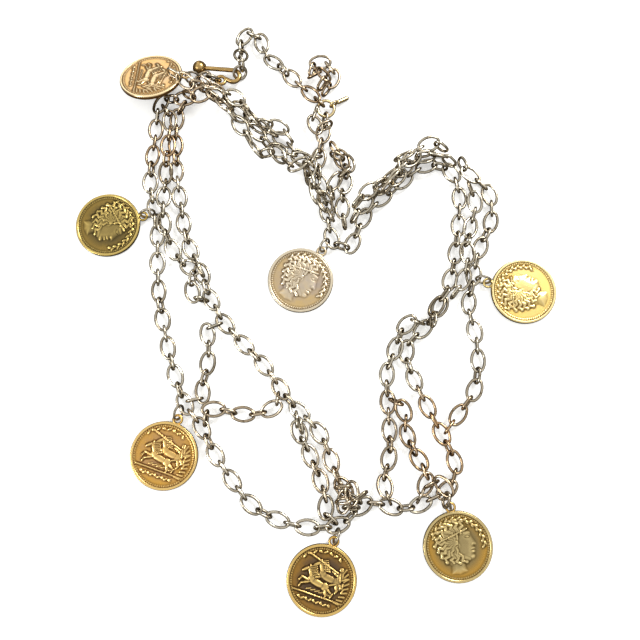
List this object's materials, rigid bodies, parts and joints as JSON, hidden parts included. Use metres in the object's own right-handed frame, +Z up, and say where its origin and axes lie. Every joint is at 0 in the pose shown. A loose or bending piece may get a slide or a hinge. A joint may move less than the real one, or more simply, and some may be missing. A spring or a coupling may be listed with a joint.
{
  "type": "coin charm necklace",
  "caption": "Silvery oval-link chain necklace of webbed strands with gilt coin drops and a ball-tipped hook clasp, lying in a loose heap on a table.",
  "frame": {"origin": "on the table under the middle of the heap", "axes": "+Z up from the table, +Y along the heap's long way towards the clasp"},
  "size_m": [0.1996, 0.2456, 0.0125],
  "materials": {
    "chain_silver": "silvery plated wire, worn and lightly tarnished",
    "strand_silver": "silvery plated wire, worn and lightly tarnished",
    "coin_gilt": "gilt over brass, dark in the recesses",
    "jump_ring_dark": "dark tarnished wire",
    "clasp_brass": "brass brown, silvered where it is worn",
    "ring_gilt": "pale gilt wire"
  },
  "bodies": {
    "root": {"main_chain_left": "chain_silver", "main_chain_right": "chain_silver", "extension_chain": "chain_silver", "outer_chain": "chain_silver", "inner_chain": "chain_silver", "left_drop": "chain_silver", "left_cross": "chain_silver", "centre_drop": "chain_silver", "right_drop": "chain_silver", "right_cross": "chain_silver", "cross_chain": "chain_silver", "upper_strand": "strand_silver", "bundle_strand": "strand_silver", "right_strand": "strand_silver", "band_strand": "strand_silver", "ring_strand": "strand_silver", "back_strand": "strand_silver", "coin_1": "coin_gilt", "coin_2": "coin_gilt", "coin_3": "coin_gilt", "coin_4": "coin_gilt", "coin_5": "coin_gilt", "coin_6": "coin_gilt", "coin_7": "coin_gilt", "coin_ring_1": "jump_ring_dark", "coin_ring_2": "jump_ring_dark", "coin_ring_3": "jump_ring_dark", "coin_ring_4": "jump_ring_dark", "coin_ring_5": "jump_ring_dark", "coin_ring_6": "jump_ring_dark", "coin_ring_7": "jump_ring_dark", "hook": "clasp_brass", "hook_ring": "jump_ring_dark", "gold_ring": "ring_gilt", "end_bar": "ring_gilt"}
  },
  "joints": []
}
